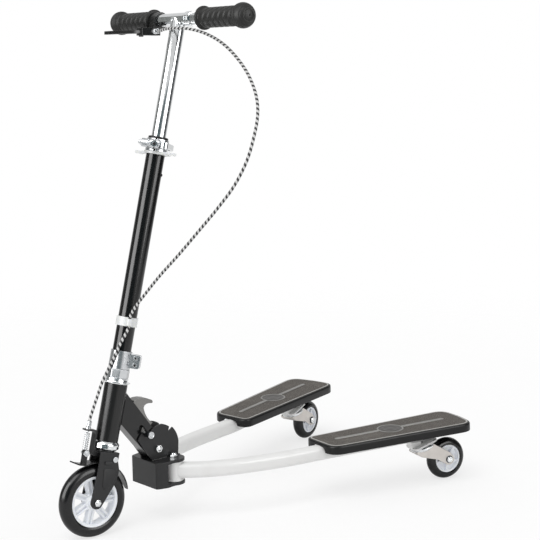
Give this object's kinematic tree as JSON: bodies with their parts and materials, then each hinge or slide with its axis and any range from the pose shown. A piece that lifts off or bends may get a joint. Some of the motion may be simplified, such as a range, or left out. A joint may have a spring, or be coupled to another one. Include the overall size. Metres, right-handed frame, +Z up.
{
  "type": "tricycle drifter scooter",
  "caption": "Folding drifter tricycle scooter with telescopic handlebar, swinging footboard arms, inclined castors, rim brake and latch",
  "frame": {"origin": "on the ground, under the middle of the scooter's bounding box", "axes": "+X forward, +Y to the rider's left, +Z up"},
  "size_m": [0.7744, 0.5016, 0.8911],
  "materials": {
    "black_coat": "satin black powder coat",
    "chrome": "bright chrome plating",
    "steel": "zinc-plated steel",
    "white_coat": "gloss white powder coat",
    "tyre": "black polyurethane",
    "grip": "black foam rubber",
    "wheel_plastic": "white nylon",
    "deck_plastic": "moulded black plastic",
    "deck_pad": "grained grey-brown non-slip pad",
    "pale_plastic": "pale translucent plastic",
    "black_plastic": "black plastic",
    "castor_metal": "warm silver coat",
    "alloy": "grey cast alloy",
    "cable": "black and white cable cover"
  },
  "bodies": {
    "rear_frame": {"yoke": "black_coat", "quadrant_left": "black_coat", "quadrant_right": "black_coat", "fold_bolt": "steel", "kingpin_left": "steel", "kingpin_right": "steel"},
    "front_frame": {"head_tube": "black_coat", "strut": "black_coat", "lower_cup": "chrome", "upper_cup": "chrome"},
    "latch": {"latch_hook": "alloy", "latch_pin": "steel"},
    "steering": {"fork": "black_coat", "front_axle": "steel", "shoe_pivot": "steel", "locknut": "steel", "low_clamp": "steel", "low_clamp_bolt_1": "steel", "low_clamp_bolt_2": "steel", "column": "black_coat", "cable_guide": "pale_plastic", "top_clamp": "steel", "release_skewer": "steel", "stem_bushing": "black_plastic", "grip_clip": "pale_plastic", "cable_stop": "black_coat", "barrel_adjuster": "steel", "return_spring": "steel", "brake_wire": "steel", "brake_cable": "cable"},
    "shoe": {"brake_shoe": "black_coat", "cable_anchor": "steel"},
    "quick_release": {"release_lever": "steel"},
    "bars": {"handlebar": "chrome", "bar_collar": "pale_plastic", "grip_left": "grip", "grip_right": "grip", "lever_perch": "alloy"},
    "brake_handle": {"brake_lever": "alloy"},
    "front_wheel": {"front_hub": "wheel_plastic", "front_tyre": "tyre"},
    "swing_arm_left": {"arm_left": "white_coat", "castor_plate_left": "white_coat", "castor_kingbolt_left": "steel", "deck_left": "deck_plastic", "deck_pad_left": "deck_pad"},
    "castor_left": {"castor_fork_left": "castor_metal", "castor_axle_left": "steel"},
    "castor_wheel_left": {"castor_hub_left": "wheel_plastic", "castor_tyre_left": "tyre"},
    "swing_arm_right": {"arm_right": "white_coat", "castor_plate_right": "white_coat", "castor_kingbolt_right": "steel", "deck_right": "deck_plastic", "deck_pad_right": "deck_pad"},
    "castor_right": {"castor_fork_right": "castor_metal", "castor_axle_right": "steel"},
    "castor_wheel_right": {"castor_hub_right": "wheel_plastic", "castor_tyre_right": "tyre"}
  },
  "joints": [
    {"name": "fold", "type": "hinge", "parent": "rear_frame", "child": "front_frame", "pos_m": [0.19474, -0.00178, 0.13128], "axis": [0, -1, 0], "range_deg": [0, 78]},
    {"name": "latch_slide", "type": "slide", "parent": "front_frame", "child": "latch", "axis": [0.6018, 0, 0.7986], "range_m": [0, 0.015]},
    {"name": "steer", "type": "hinge", "parent": "front_frame", "child": "steering", "pos_m": [0.29434, -0.00178, 0.14998], "axis": [-0.247, 0, 0.969], "range_deg": [-40.4, 49.6]},
    {"name": "bar_height", "type": "slide", "parent": "steering", "child": "bars", "axis": [-0.247, 0, 0.969], "range_m": [-0.15, 0], "deforming": ["brake_cable"]},
    {"name": "brake_squeeze", "type": "hinge", "parent": "bars", "child": "brake_handle", "pos_m": [0.13202, -0.08325, 0.8475], "axis": [0.0408, 0.0167, -0.999], "range_deg": [0, 22], "stiffness_Nm_per_rad": 0.8, "deforming": ["return_spring", "brake_wire"]},
    {"name": "shoe_press", "type": "hinge", "parent": "steering", "child": "shoe", "pos_m": [0.28598, -0.00074, 0.1303], "axis": [-0.0777, -0.9968, -0.0198], "range_deg": [0, 3.2], "deforming": ["return_spring", "brake_wire"]},
    {"name": "clamp_release", "type": "hinge", "parent": "steering", "child": "quick_release", "pos_m": [0.17215, 0.02731, 0.65726], "axis": [0.247, 0, -0.969], "range_deg": [0, 100]},
    {"name": "front_wheel_spin", "type": "hinge", "parent": "steering", "child": "front_wheel", "pos_m": [0.32488, -0.00242, 0.06247], "axis": [0.0777, 0.9968, 0.0198], "continuous": true},
    {"name": "arm_swing_left", "type": "hinge", "parent": "rear_frame", "child": "swing_arm_left", "pos_m": [0.16674, 0.02142, 0.08998], "axis": [0, 0, 1], "range_deg": [-20, 12]},
    {"name": "castor_swivel_left", "type": "hinge", "parent": "swing_arm_left", "child": "castor_left", "pos_m": [-0.29868, 0.18015, 0.06898], "axis": [0.2828, -0.0742, 0.9563], "continuous": true},
    {"name": "castor_spin_left", "type": "hinge", "parent": "castor_left", "child": "castor_wheel_left", "pos_m": [-0.34898, 0.19335, 0.03948], "axis": [0.2538, 0.9673, 0], "continuous": true},
    {"name": "arm_swing_right", "type": "hinge", "parent": "rear_frame", "child": "swing_arm_right", "pos_m": [0.16674, -0.02498, 0.08998], "axis": [0, 0, 1], "range_deg": [-12, 20]},
    {"name": "castor_swivel_right", "type": "hinge", "parent": "swing_arm_right", "child": "castor_right", "pos_m": [-0.29868, -0.18372, 0.06898], "axis": [0.2828, 0.0742, 0.9563], "continuous": true},
    {"name": "castor_spin_right", "type": "hinge", "parent": "castor_right", "child": "castor_wheel_right", "pos_m": [-0.34898, -0.19691, 0.03948], "axis": [-0.2538, 0.9673, 0], "continuous": true}
  ],
  "couplings": [
    {"joint": "latch_slide", "follows": "fold", "m_per_rad": 0.011007},
    {"joint": "shoe_press", "follows": "brake_squeeze", "ratio": 0.14531}
  ]
}
